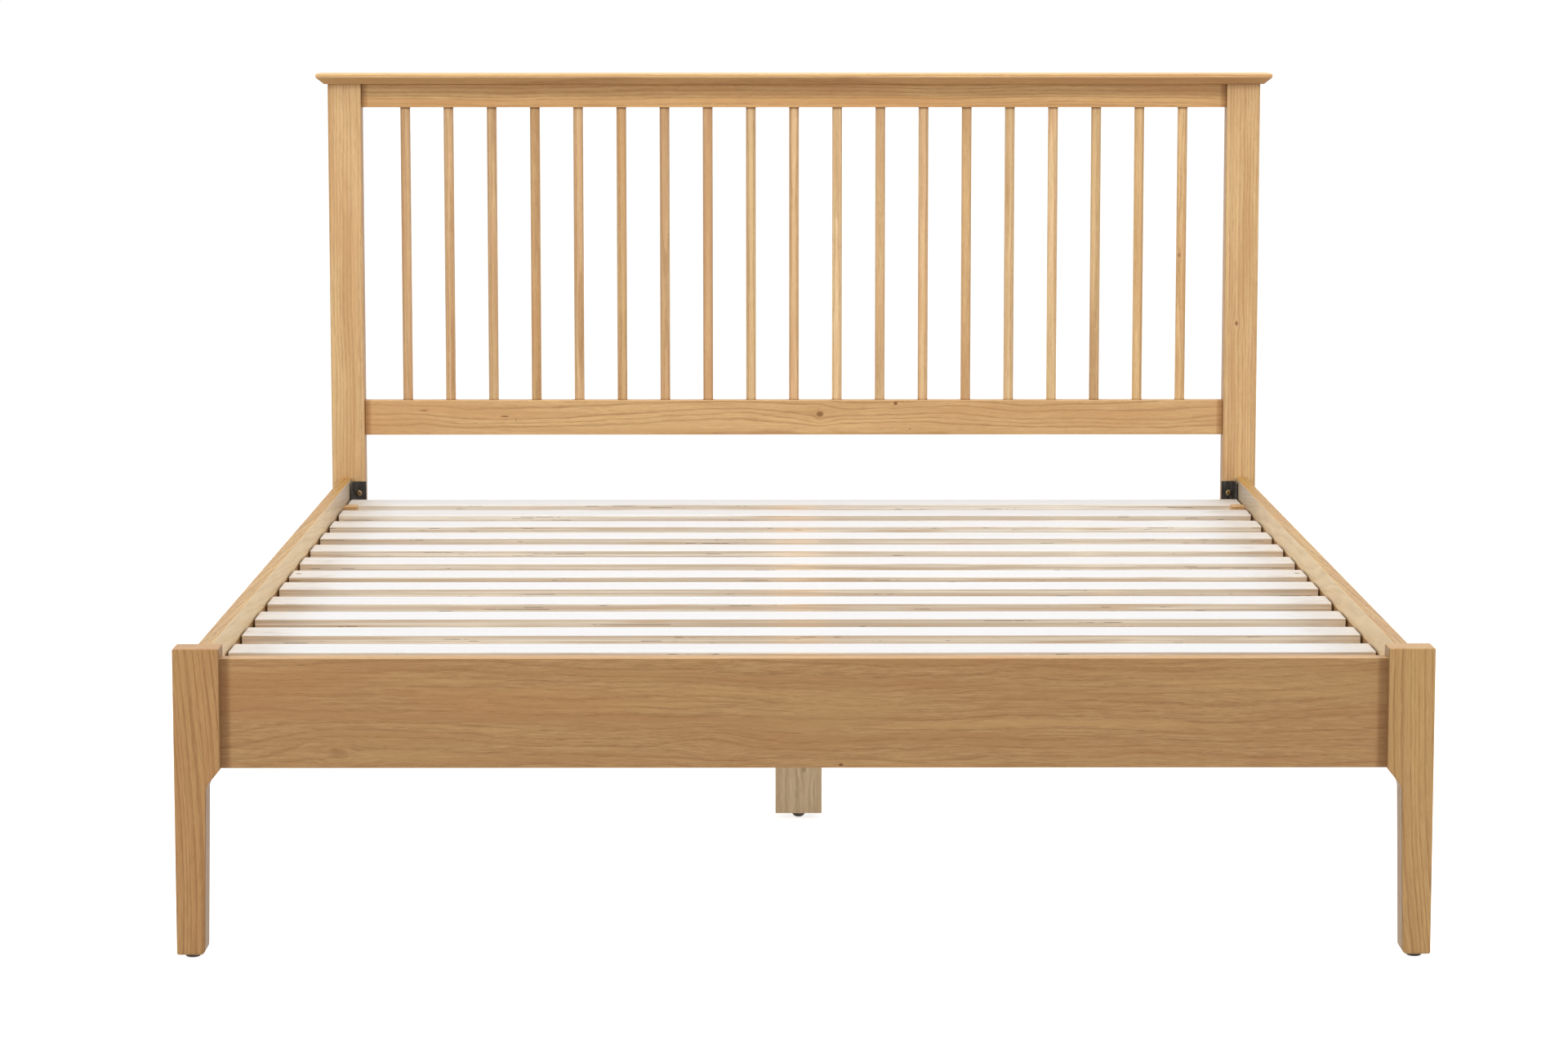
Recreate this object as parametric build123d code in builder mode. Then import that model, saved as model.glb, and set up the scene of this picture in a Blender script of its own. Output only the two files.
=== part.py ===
"""King-size spindle bed frame in oak, with two rolls of sprung-free ply slats.

Frame of the model: X across the bed (+X is the right side seen from the foot), Y from the
foot (-Y) to the headboard (+Y), Z up from the floor. The origin is on the floor, in the
middle of the bed's outline. Every length is in millimetres.
"""
from build123d import *
import math
import os

# ------------------------------------------------------------------ driving sizes
# The whole bed
frame_width = 1600.0          # over the outer faces of the legs and posts
clear_length = 2020.0         # foot rail's inner face to the posts' front face
rail_top = 387.0              # top of the side rails and the foot rail
bed_rail_height = 141.0       # height of the side rails and the foot rail
headboard_height = 1085.0     # top of the cap rail

# Glides, pressed under the legs and posts
glide_diameter = 19.5
glide_height = 6.0
glide_edge_round = 2.5

# Foot legs: square above, stepped in and tapered on the inner side below the rail
leg_width = 59.0
leg_depth = 45.0
leg_top = 401.0
leg_arris = 2.5
shoulder_inset = 18.3         # how far the inner side steps in
shoulder_height = 22.5        # height of the sloping step
shoulder_round = 20.0         # radius where the step meets the taper
leg_toe_width = 36.3          # width at the very bottom
leg_toe_round = 7.0           # inner corner at the very bottom

# Foot rail
foot_rail_thickness = 25.0
foot_rail_recess = 10.0       # behind the legs' front face

# Side rails and the ledgers that carry the slats
side_rail_thickness = 18.5
side_rail_inset = 15.5        # outer face, in from the legs' outer face
ledger_width = 28.0
ledger_height = 30.0
ledger_end_gap = 6.0          # to the corner bracket's end
ledger_screw_count = 6

# Headboard
post_width = 57.0
post_depth = 42.0
post_arris = 2.5
cap_thickness = 18.5
cap_overhang = 18.5           # past the posts, at the sides, the front and the back
cap_nose_height = 7.0         # upright edge above the sloping underside
cap_slope_run = 13.0          # how far the underside slopes inwards
cap_top_round = 3.0
cap_nose_round = 1.5
headboard_rail_thickness = 22.0
headboard_rail_recess = 10.0  # behind the posts' front face
top_rail_height = 40.0
lower_rail_height = 60.0
spindle_length = 505.5        # the length that shows between the two rails
spindle_count = 19
spindle_diameter = 17.0
spindle_end_depth = 15.0      # each end's length inside a rail
cross_rail_height = 100.0
cross_rail_thickness = 22.0
cross_rail_recess = 17.0

# Tenons of every rail
tenon_length = 28.0
tenon_thickness = 10.0
tenon_shoulder = 8.0          # from a rail's top and bottom edges
rail_arris = 1.2

# Slats
slat_width = 75.5
slat_thickness = 18.0
slat_drop = 32.5              # slat tops, below the rail tops
slat_end_gap = 3.5
slat_arris = 1.5
foot_roll_count = 6
head_roll_count = 7
foot_roll_gap = 86.0          # foot rail to the first slat
middle_gap = 56.5             # between the two rolls
head_roll_gap = 45.0          # last slat to the posts
webbing_width = 25.0
webbing_thickness = 1.2
webbing_spread = 900.0        # between the middles of the two tapes
webbing_end_inset = 10.0
stop_block_width = 22.0
stop_block_length = 30.0
stop_block_round = 1.0
slat_screw_length = 34.0

# Centre rail, centre leg and its screw foot
centre_rail_width = 69.0
centre_rail_height = 45.0
centre_leg_depth = 45.0
centre_leg_from_foot = 930.0  # foot rail's inner face to the middle of the leg
centre_leg_arris = 1.5
leg_screw_spread = 36.0
leg_screw_length = 100.0
foot_pad_diameter = 18.5
foot_pad_height = 8.5
foot_pad_dome = 4.5           # height of the rounded lower part
foot_pad_flat = 6.0           # width of the flat that touches the floor
foot_pad_round = 9.0          # radius of the dome
foot_pad_gap = 0.5            # pad to the leg's end grain, screwed right in
foot_stud_length = 30.0

# Corner brackets, their bolts and the threaded inserts
bracket_thickness = 3.0
bracket_height = 90.0
bracket_arm = 45.0            # along the side rail
bracket_fold_round = 1.0      # inside the fold
head_bracket_drop = 6.0       # below the rail top
foot_bracket_drop = 18.0
bolt_from_bracket_end = 20.0
bolt_diameter = 6.0
bolt_length = 16.0
bolt_head_diameter = 10.5
bolt_head_height = 3.3
bolt_head_round = 2.0
hex_key = 4.0                 # across the flats
hex_depth = 2.2
insert_diameter = 10.0
insert_length = 12.0

# Countersunk wood screws: (diameter, head diameter)
short_screw_length = 16.0
short_screw_diameter = 4.5
short_screw_head = 8.6
ledger_screw_length = 38.0
ledger_screw_diameter = 5.0
ledger_screw_head = 9.4
leg_screw_diameter = 6.0
leg_screw_head = 11.4
bracket_screw_end = 12.0      # bracket's top and bottom to its outer screws
bracket_screw_count = 3

# Stirrup hangers of the centre rail
hanger_thickness = 2.5
hanger_seat = 40.0            # how far it reaches under the rail
hanger_wing = 18.0            # each side flange
hanger_top_gap = 4.0          # below the centre rail's top
hanger_screw_spread = 20.0

# Fits
tenon_clearance = 0.2         # on every side of a tenon
tenon_end_gap = 0.8
socket_clearance = 0.1        # round a spindle's end, an insert or a screw
socket_end_gap = 0.5
thread_clearance = 0.05       # round a bolt or stud in its insert
rail_end_gap = 0.8            # centre rail to its hangers' back plates

# ------------------------------------------------------------------ derived sizes
# Across the bed
outer_face = frame_width / 2
leg_inner = outer_face - leg_width
post_inner = outer_face - post_width
rail_outer = outer_face - side_rail_inset
rail_inner = rail_outer - side_rail_thickness
slat_end = rail_inner - slat_end_gap
ledger_inner = rail_inner - ledger_width
ledger_middle = (rail_inner + ledger_inner) / 2

# Along the bed
total_length = (
    foot_rail_recess + foot_rail_thickness + clear_length + post_depth + cap_overhang
)
leg_front = -total_length / 2
leg_back = leg_front + leg_depth
foot_rail_front = leg_front + foot_rail_recess
foot_rail_back = foot_rail_front + foot_rail_thickness
post_front = foot_rail_back + clear_length
post_back = post_front + post_depth
headboard_rail_middle = post_front + headboard_rail_recess + headboard_rail_thickness / 2
cross_rail_front = post_front + cross_rail_recess
cross_rail_middle = cross_rail_front + cross_rail_thickness / 2
foot_rail_middle = (foot_rail_front + foot_rail_back) / 2
centre_leg_middle = foot_rail_back + centre_leg_from_foot

# Up the bed
rail_bottom = rail_top - bed_rail_height
slat_top = rail_top - slat_drop
slat_seat = slat_top - slat_thickness
cap_bottom = headboard_height - cap_thickness
top_rail_bottom = cap_bottom - top_rail_height
lower_rail_top = top_rail_bottom - spindle_length
lower_rail_bottom = lower_rail_top - lower_rail_height
cross_rail_bottom = slat_seat - cross_rail_height
centre_rail_bottom = slat_seat - centre_rail_height
centre_leg_bottom = foot_pad_height + foot_pad_gap

# Slat rolls: the same pitch in both, from the space that the three gaps leave
roll_space = clear_length - foot_roll_gap - middle_gap - head_roll_gap - 2 * slat_width
slat_pitch = roll_space / (foot_roll_count + head_roll_count - 2)
foot_roll_fronts = [foot_rail_back + foot_roll_gap + i * slat_pitch for i in range(foot_roll_count)]
head_roll_back = post_front - head_roll_gap
head_roll_fronts = [
    head_roll_back - slat_width - i * slat_pitch for i in reversed(range(head_roll_count))
]
slat_fronts = foot_roll_fronts + head_roll_fronts

# Fixings
insert_hole = insert_diameter + 2 * socket_clearance
insert_bore = bolt_diameter + 2 * thread_clearance
bolt_hole_depth = bolt_length - bracket_thickness + socket_end_gap
foot_stud_hole_depth = foot_stud_length + foot_pad_height + socket_end_gap - centre_leg_bottom

RIGHT = 1
LEFT = -1
SIDES = {"left": LEFT, "right": RIGHT}
BASE = (Align.CENTER, Align.CENTER, Align.MIN)
HUNG = (Align.CENTER, Align.CENTER, Align.MAX)


# ------------------------------------------------------------------ helpers
def write_piece(piece, name):
    """Label one finished piece and write it to parts/name.step."""
    piece.part.label = name
    export_step(piece.part, f"parts/{name}.step")


def facing(x, y, z, direction):
    """A plane at a point, looking the given way: a hole or screw on it runs the other way."""
    return Plane((x, y, z), z_dir=direction)


def span(low, high, count):
    """Evenly spaced values from low to high."""
    return [low + (high - low) * i / (count - 1) for i in range(count)]


def head_depth(diameter, head):
    """Depth of a ninety-degree countersunk head."""
    return (head - diameter) / 2


def cut_mortise(side, inner_face, middle_y, bottom, top):
    """Cut the slot for a rail's tenon into the post or leg being built."""
    depth = tenon_length + tenon_end_gap
    with Locations((side * (inner_face + depth / 2), middle_y, (bottom + top) / 2)):
        Box(
            depth,
            tenon_thickness + 2 * tenon_clearance,
            top - bottom - 2 * tenon_shoulder + 2 * tenon_clearance,
            mode=Mode.SUBTRACT,
        )


def cut_insert_holes(seats, depth):
    """Bore for threaded inserts, and for the bolt ends past them."""
    with Locations(*seats):
        Hole(insert_hole / 2, depth)


def cut_screw_holes(seats, diameter, depth):
    """Plain holes for the shanks of wood screws."""
    with Locations(*seats):
        Hole(diameter / 2 + socket_clearance, depth)


def cut_screw_seats(seats, diameter, head, depth):
    """Countersunk holes for wood screws whose heads lie flush."""
    with Locations(*seats):
        CounterSinkHole(diameter / 2 + socket_clearance, head / 2 + socket_clearance, depth)


def add_screws(seats, diameter, head, length):
    """Countersunk wood screws with a pointed end, one at each seat."""
    sink = head_depth(diameter, head)
    point = diameter
    shank = length - sink - point
    with Locations(*[seat.offset(-sink) for seat in seats]):
        Cone(diameter / 2, head / 2, sink, align=BASE)
        Cylinder(diameter / 2, shank, align=HUNG)
    with Locations(*[seat.offset(-sink - shank) for seat in seats]):
        Cone(diameter / 10, diameter / 2, point, align=HUNG)


# ------------------------------------------------------------------ where the fixings sit
def bolt_seats(side, face_y, direction, bracket_top):
    """Where a corner bracket's bolts enter the leg or the post, on its face."""
    x = side * (leg_inner + rail_inner) / 2
    levels = (bracket_top - bolt_from_bracket_end, bracket_top - bracket_height + bolt_from_bracket_end)
    return [facing(x, face_y, z, (0, direction, 0)) for z in levels]


def bracket_screw_seats(side, face_y, direction, bracket_top, inset=0.0):
    """Where a corner bracket's screws enter the side rail, on its inner face."""
    y = face_y + direction * (bracket_arm + bracket_thickness) / 2
    low = bracket_top - bracket_height + bracket_screw_end
    high = bracket_top - bracket_screw_end
    x = side * (rail_inner - inset)
    return [facing(x, y, z, (-side, 0, 0)) for z in span(low, high, bracket_screw_count)]


head_bracket_top = rail_top - head_bracket_drop
foot_bracket_top = rail_top - foot_bracket_drop
ledger_foot_end = leg_back + bracket_arm + ledger_end_gap
ledger_head_end = post_front - bracket_arm - ledger_end_gap
ledger_screw_margin = ledger_width
ledger_screw_level = slat_seat - ledger_height / 2


def corner(side, end):
    """The face, direction and bracket height of one corner of the bed."""
    if end == "head":
        return side, post_front, -1, head_bracket_top
    return side, leg_back, 1, foot_bracket_top


def ledger_screw_seats(side, inset):
    """Where the ledger's screws lie, inset from the side rail's inner face."""
    low = ledger_foot_end + ledger_screw_margin
    high = ledger_head_end - ledger_screw_margin
    x = side * (rail_inner - inset)
    return [
        facing(x, y, ledger_screw_level, (-side, 0, 0)) for y in span(low, high, ledger_screw_count)
    ]


def slat_screw_seats(level):
    """The two screws at the ends of the slat that starts the head roll."""
    y = head_roll_fronts[0] + slat_width / 2
    return [facing(side * ledger_middle, y, level, (0, 0, 1)) for side in (LEFT, RIGHT)]


def leg_screw_seats(level):
    """The two long screws that go down through the centre rail into the centre leg."""
    return [
        facing(side * leg_screw_spread / 2, centre_leg_middle, level, (0, 0, 1))
        for side in (LEFT, RIGHT)
    ]


def hanger_screw_seats(face_y, direction, inset):
    """The four screws through a hanger's wings, on the rail face that carries it."""
    x = centre_rail_width / 2 + hanger_thickness + socket_clearance + hanger_wing / 2
    middle = (centre_rail_bottom + slat_seat) / 2
    y = face_y + direction * inset
    return [
        facing(side * x, y, middle + rise * hanger_screw_spread / 2, (0, direction, 0))
        for side in (LEFT, RIGHT)
        for rise in (LEFT, RIGHT)
    ]


# ------------------------------------------------------------------ legs and posts
def make_foot_leg(side, name):
    """A foot leg, with its stepped and tapered inner side, a mortise and two insert holes."""
    toe_inner = outer_face - leg_toe_width
    step_inner = leg_inner + shoulder_inset
    step_bottom = rail_bottom - shoulder_height
    with BuildPart() as leg:
        with BuildSketch(Plane.XZ.offset(-leg_back)):
            with BuildLine():
                Polyline(
                    (side * outer_face, glide_height),
                    (side * outer_face, leg_top),
                    (side * leg_inner, leg_top),
                    (side * leg_inner, rail_bottom),
                )
                FilletPolyline(
                    (side * leg_inner, rail_bottom),
                    (side * step_inner, step_bottom),
                    (side * toe_inner, glide_height),
                    radius=shoulder_round,
                )
                Line((side * toe_inner, glide_height), (side * outer_face, glide_height))
            make_face()
        extrude(amount=leg_depth)
        across = leg.edges().filter_by(Axis.Y)
        fillet(across.sort_by_distance((side * toe_inner, leg_front, glide_height))[0], leg_toe_round)
        fillet(leg.edges().filter_by(GeomType.LINE), leg_arris)
        cut_mortise(side, leg_inner, foot_rail_middle, rail_bottom, rail_top)
        cut_insert_holes(bolt_seats(*corner(side, "foot")), bolt_hole_depth)
    write_piece(leg, name)


def make_post(side, name):
    """A headboard post: plain from the floor to the cap, with three mortises."""
    with BuildPart() as post:
        with BuildSketch(Plane.XY.offset(glide_height)):
            with Locations((side * (outer_face - post_width / 2), post_front + post_depth / 2)):
                Rectangle(post_width, post_depth)
        extrude(amount=cap_bottom - glide_height)
        fillet(post.edges().filter_by(Axis.Z), post_arris)
        fillet(post.faces().sort_by(Axis.Z)[0].edges(), post_arris)
        cut_mortise(side, post_inner, headboard_rail_middle, top_rail_bottom, cap_bottom)
        cut_mortise(side, post_inner, headboard_rail_middle, lower_rail_bottom, lower_rail_top)
        cut_mortise(side, post_inner, cross_rail_middle, cross_rail_bottom, slat_seat)
        cut_insert_holes(bolt_seats(*corner(side, "head")), bolt_hole_depth)
    write_piece(post, name)


# ------------------------------------------------------------------ rails across the bed
def tenoned_rail(inner_face, middle_y, thickness, bottom, top):
    """A rail between two posts: rounded long edges and a tenon at each end."""
    middle = (0, middle_y, (bottom + top) / 2)
    with BuildPart() as rail:
        with Locations(middle):
            Box(2 * inner_face, thickness, top - bottom)
        fillet(rail.edges().filter_by(Axis.X), rail_arris)
        with Locations(middle):
            Box(2 * (inner_face + tenon_length), tenon_thickness, top - bottom - 2 * tenon_shoulder)
    return rail.part


def spindle_seats(level, direction):
    """The planes of the spindle ends on one headboard rail."""
    pitch = 2 * post_inner / (spindle_count + 1)
    return [
        facing(-post_inner + (i + 1) * pitch, headboard_rail_middle, level, (0, 0, direction))
        for i in range(spindle_count)
    ]


def cut_spindle_sockets(seats):
    """Blind round sockets for the spindle ends."""
    with Locations(*seats):
        Hole(spindle_diameter / 2 + socket_clearance, spindle_end_depth + socket_end_gap)


def make_cap_rail(name):
    """The cap: a nosed board whose underside slopes in to the posts."""
    slope_height = cap_thickness - cap_nose_height
    slope_angle = math.degrees(math.atan2(cap_slope_run, slope_height))
    with BuildPart() as cap:
        with BuildSketch(Plane.XY.offset(cap_bottom + slope_height)) as outline:
            with Locations((0, post_front + post_depth / 2)):
                Rectangle(frame_width + 2 * cap_overhang, post_depth + 2 * cap_overhang)
        extrude(amount=cap_nose_height)
        fillet(cap.faces().sort_by(Axis.Z)[-1].edges(), cap_top_round)
        extrude(outline.sketch, amount=-slope_height, taper=slope_angle)
        nose_edges = cap.edges().filter_by_position(
            Axis.Z, cap_bottom + slope_height, cap_bottom + slope_height
        )
        fillet(nose_edges, cap_nose_round)
    write_piece(cap, name)


def make_headboard_rails():
    """The top rail and the lower rail, drilled for the spindles."""
    with BuildPart() as top_rail:
        add(tenoned_rail(
            post_inner, headboard_rail_middle, headboard_rail_thickness, top_rail_bottom, cap_bottom
        ))
        cut_spindle_sockets(spindle_seats(top_rail_bottom, -1))
    write_piece(top_rail, "headboard_top_rail")

    with BuildPart() as lower_rail:
        add(tenoned_rail(
            post_inner, headboard_rail_middle, headboard_rail_thickness,
            lower_rail_bottom, lower_rail_top,
        ))
        cut_spindle_sockets(spindle_seats(lower_rail_top, 1))
    write_piece(lower_rail, "headboard_lower_rail")


def make_spindle(seat, name):
    """One plain round spindle, with both ends let into the rails."""
    with BuildPart() as spindle:
        with Locations(seat.offset(-spindle_end_depth)):
            Cylinder(spindle_diameter / 2, spindle_length + 2 * spindle_end_depth, align=BASE)
    write_piece(spindle, name)


def make_low_rails():
    """The foot rail and the low cross rail at the head, both drilled for a hanger."""
    with BuildPart() as foot_rail:
        add(tenoned_rail(leg_inner, foot_rail_middle, foot_rail_thickness, rail_bottom, rail_top))
        cut_screw_holes(
            hanger_screw_seats(foot_rail_back, 1, 0.0), short_screw_diameter,
            short_screw_length - hanger_thickness + socket_end_gap,
        )
    write_piece(foot_rail, "foot_rail")

    with BuildPart() as cross_rail:
        add(tenoned_rail(
            post_inner, cross_rail_middle, cross_rail_thickness, cross_rail_bottom, slat_seat
        ))
        cut_screw_holes(
            hanger_screw_seats(cross_rail_front, -1, 0.0), short_screw_diameter,
            short_screw_length - hanger_thickness + socket_end_gap,
        )
    write_piece(cross_rail, "head_cross_rail")


# ------------------------------------------------------------------ side rails and slats
def make_side_rail(side, name):
    """A side rail: a plain board drilled for its brackets and its ledger."""
    length = post_front - leg_back
    with BuildPart() as rail:
        with Locations((
            side * (rail_inner + side_rail_thickness / 2),
            (leg_back + post_front) / 2,
            (rail_bottom + rail_top) / 2,
        )):
            Box(side_rail_thickness, length, bed_rail_height)
        fillet(rail.edges().filter_by(Axis.Y), rail_arris)
        for end in ("foot", "head"):
            cut_screw_holes(
                bracket_screw_seats(*corner(side, end)), short_screw_diameter,
                short_screw_length - bracket_thickness + socket_end_gap,
            )
        cut_screw_holes(
            ledger_screw_seats(side, 0.0), ledger_screw_diameter,
            ledger_screw_length - ledger_width + socket_end_gap,
        )
    write_piece(rail, name)


def make_ledger(side, name):
    """The batten inside a side rail that carries the slat ends."""
    with BuildPart() as ledger:
        with Locations((
            side * ledger_middle,
            (ledger_foot_end + ledger_head_end) / 2,
            slat_seat - ledger_height / 2,
        )):
            Box(ledger_width, ledger_head_end - ledger_foot_end, ledger_height)
        cut_screw_seats(
            ledger_screw_seats(side, ledger_width), ledger_screw_diameter, ledger_screw_head,
            ledger_width,
        )
        cut_screw_holes(
            slat_screw_seats(slat_seat), short_screw_diameter,
            slat_screw_length - slat_thickness + socket_end_gap,
        )
    write_piece(ledger, name)


def make_slat(front, name, screwed):
    """One slat, with its long edges eased; a screwed one has a countersunk hole at each end."""
    with BuildPart() as slat:
        with Locations((0, front + slat_width / 2, slat_seat + slat_thickness / 2)):
            Box(2 * slat_end, slat_width, slat_thickness)
        fillet(slat.edges().filter_by(Axis.X), slat_arris)
        if screwed:
            cut_screw_seats(
                slat_screw_seats(slat_top), short_screw_diameter, short_screw_head, slat_thickness
            )
    write_piece(slat, name)


def make_webbing(name):
    """Two tapes under each roll of slats, which hold the slats' spacing."""
    with BuildPart() as webbing:
        for fronts in (foot_roll_fronts, head_roll_fronts):
            start = fronts[0] + webbing_end_inset
            end = fronts[-1] + slat_width - webbing_end_inset
            with Locations(*[
                (side * webbing_spread / 2, (start + end) / 2, slat_seat) for side in (LEFT, RIGHT)
            ]):
                Box(webbing_width, end - start, webbing_thickness, align=HUNG)
    write_piece(webbing, name)


def make_stop_blocks(name):
    """The two blocks on the ledgers that keep the slat nearest the head in place."""
    middle = head_roll_fronts[-1] - stop_block_length / 2
    with BuildPart() as blocks:
        with Locations(*[
            (side * (rail_inner - stop_block_width / 2), middle, slat_seat)
            for side in (LEFT, RIGHT)
        ]):
            Box(stop_block_width, stop_block_length, slat_thickness, align=BASE)
        fillet(blocks.faces().group_by(Axis.Z)[-1].edges(), stop_block_round)
    write_piece(blocks, name)


# ------------------------------------------------------------------ centre support
def make_centre_rail(name):
    """The rail under the middle of the slats, from hanger to hanger."""
    start = foot_rail_back + hanger_thickness + rail_end_gap
    end = cross_rail_front - hanger_thickness - rail_end_gap
    with BuildPart() as rail:
        with Locations((0, (start + end) / 2, centre_rail_bottom)):
            Box(centre_rail_width, end - start, centre_rail_height, align=BASE)
        cut_screw_seats(
            leg_screw_seats(slat_seat), leg_screw_diameter, leg_screw_head, centre_rail_height
        )
    write_piece(rail, name)


def make_centre_leg(name):
    """The centre leg, from the centre rail down to its screw foot."""
    with BuildPart() as leg:
        with Locations((0, centre_leg_middle, centre_leg_bottom)):
            Box(
                centre_rail_width, centre_leg_depth, centre_rail_bottom - centre_leg_bottom,
                align=BASE,
            )
        fillet(leg.edges().filter_by(Axis.Z), centre_leg_arris)
        cut_screw_holes(
            leg_screw_seats(centre_rail_bottom), leg_screw_diameter,
            leg_screw_length - centre_rail_height + socket_end_gap,
        )
        cut_insert_holes([centre_foot_seat()], foot_stud_hole_depth)
    write_piece(leg, name)


def centre_foot_seat():
    """The middle of the centre leg's end grain, looking down."""
    return facing(0, centre_leg_middle, centre_leg_bottom, (0, 0, -1))


def make_centre_foot(name):
    """The screw foot: a domed pad on a threaded stud."""
    radius = foot_pad_diameter / 2
    with BuildPart() as foot:
        with BuildSketch(Plane.XZ.offset(-centre_leg_middle)):
            with BuildLine():
                Line((0, 0), (foot_pad_flat / 2, 0))
                RadiusArc((foot_pad_flat / 2, 0), (radius, foot_pad_dome), -foot_pad_round)
                Polyline(
                    (radius, foot_pad_dome),
                    (radius, foot_pad_height),
                    (bolt_diameter / 2, foot_pad_height),
                    (bolt_diameter / 2, foot_pad_height + foot_stud_length),
                    (0, foot_pad_height + foot_stud_length),
                    (0, 0),
                )
            make_face()
        revolve(axis=Axis((0, centre_leg_middle, 0), (0, 0, 1)))
    write_piece(foot, name)


def make_hangers(name):
    """The two steel stirrups that carry the ends of the centre rail."""
    inner = centre_rail_width + 2 * socket_clearance
    outer = inner + 2 * hanger_thickness
    bottom = centre_rail_bottom - hanger_thickness
    height = slat_seat - hanger_top_gap - bottom
    with BuildPart() as hangers:
        for face_y, direction in ((foot_rail_back, 1), (cross_rail_front, -1)):
            back_middle = face_y + direction * hanger_thickness / 2
            seat_middle = face_y + direction * hanger_seat / 2
            with Locations((0, back_middle, bottom)):
                Box(outer + 2 * hanger_wing, hanger_thickness, height, align=BASE)
            with Locations((0, seat_middle, bottom)):
                Box(outer, hanger_seat, height, align=BASE)
            with Locations((0, face_y + direction * (hanger_thickness + hanger_seat / 2),
                            centre_rail_bottom)):
                Box(inner, hanger_seat, height, align=BASE, mode=Mode.SUBTRACT)
            cut_screw_seats(
                hanger_screw_seats(face_y, direction, hanger_thickness), short_screw_diameter,
                short_screw_head, hanger_thickness,
            )
    write_piece(hangers, name)


# ------------------------------------------------------------------ metal fixings
def make_corner_brackets(end, name):
    """The pair of angle brackets at one end: one arm on the leg or post, one on the side rail."""
    with BuildPart() as brackets:
        for side in (LEFT, RIGHT):
            _, face_y, direction, top = corner(side, end)
            with BuildSketch(Plane.XY.offset(top - bracket_height)):
                with BuildLine():
                    corner_point = (side * rail_inner, face_y)
                    inner_x = side * (rail_inner - bracket_thickness)
                    inner_y = face_y + direction * bracket_thickness
                    Polyline(
                        (side * leg_inner, face_y),
                        corner_point,
                        (side * rail_inner, face_y + direction * bracket_arm),
                        (inner_x, face_y + direction * bracket_arm),
                        (inner_x, inner_y),
                        (side * leg_inner, inner_y),
                        close=True,
                    )
                make_face()
            extrude(amount=bracket_height)
            fold_corner = (inner_x, inner_y, top - bracket_height / 2)
            fold = brackets.edges().filter_by(Axis.Z).sort_by_distance(fold_corner)[0]
            fillet(fold, bracket_fold_round)
            with Locations(*[seat.offset(bracket_thickness)
                             for seat in bolt_seats(side, face_y, direction, top)]):
                Hole(bolt_diameter / 2 + thread_clearance, bracket_thickness)
            cut_screw_seats(
                bracket_screw_seats(side, face_y, direction, top, bracket_thickness),
                short_screw_diameter, short_screw_head, bracket_thickness,
            )
    write_piece(brackets, name)


def all_corners():
    """Every corner of the bed, as corner() gives it."""
    return [corner(side, end) for side in (LEFT, RIGHT) for end in ("foot", "head")]


def make_bolts(name):
    """Button-head bolts, two through each corner bracket."""
    with BuildPart() as bolt:
        Cylinder(bolt_head_diameter / 2, bolt_head_height, align=BASE)
        fillet(bolt.faces().sort_by(Axis.Z)[-1].edges(), bolt_head_round)
        Cylinder(bolt_diameter / 2, bolt_length, align=HUNG)
        with BuildSketch(Plane.XY.offset(bolt_head_height)):
            RegularPolygon(hex_key / 2, side_count=6, major_radius=False)
        extrude(amount=-hex_depth, mode=Mode.SUBTRACT)

    with BuildPart() as bolts:
        with Locations(*[
            seat.offset(bracket_thickness) for place in all_corners() for seat in bolt_seats(*place)
        ]):
            add(bolt.part)
    write_piece(bolts, name)


def make_inserts(name):
    """Threaded inserts: one for each corner bolt and one for the centre foot."""
    seats = [seat for place in all_corners() for seat in bolt_seats(*place)]
    seats.append(centre_foot_seat())
    with BuildPart() as inserts:
        with Locations(*seats):
            Cylinder(insert_diameter / 2, insert_length, align=HUNG)
            Hole(insert_bore / 2, insert_length)
    write_piece(inserts, name)


def make_screws():
    """The wood screws, one node for each size and use."""
    short_seats = [
        seat for side, face_y, direction, top in all_corners()
        for seat in bracket_screw_seats(side, face_y, direction, top, bracket_thickness)
    ]
    short_seats += hanger_screw_seats(foot_rail_back, 1, hanger_thickness)
    short_seats += hanger_screw_seats(cross_rail_front, -1, hanger_thickness)
    with BuildPart() as short_screws:
        add_screws(short_seats, short_screw_diameter, short_screw_head, short_screw_length)
    write_piece(short_screws, "bracket_screws")

    with BuildPart() as ledger_screws:
        for side in (LEFT, RIGHT):
            add_screws(
                ledger_screw_seats(side, ledger_width), ledger_screw_diameter, ledger_screw_head,
                ledger_screw_length,
            )
    write_piece(ledger_screws, "ledger_screws")

    with BuildPart() as slat_screws:
        add_screws(
            slat_screw_seats(slat_top), short_screw_diameter, short_screw_head, slat_screw_length
        )
    write_piece(slat_screws, "slat_screws")

    with BuildPart() as leg_screws:
        add_screws(leg_screw_seats(slat_seat), leg_screw_diameter, leg_screw_head, leg_screw_length)
    write_piece(leg_screws, "centre_leg_screws")


def make_glides(name):
    """The round glides under the two legs and the two posts."""
    leg_middle = outer_face - leg_toe_width / 2
    post_middle = outer_face - post_width / 2
    feet = [(side * leg_middle, (leg_front + leg_back) / 2) for side in (LEFT, RIGHT)]
    feet += [(side * post_middle, (post_front + post_back) / 2) for side in (LEFT, RIGHT)]
    with BuildPart() as glides:
        with Locations(*[(x, y, 0) for x, y in feet]):
            Cylinder(glide_diameter / 2, glide_height, align=BASE)
        fillet(glides.edges().filter_by_position(Axis.Z, 0, 0), glide_edge_round)
    write_piece(glides, name)


# ------------------------------------------------------------------ build every piece
os.makedirs("parts", exist_ok=True)

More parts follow.
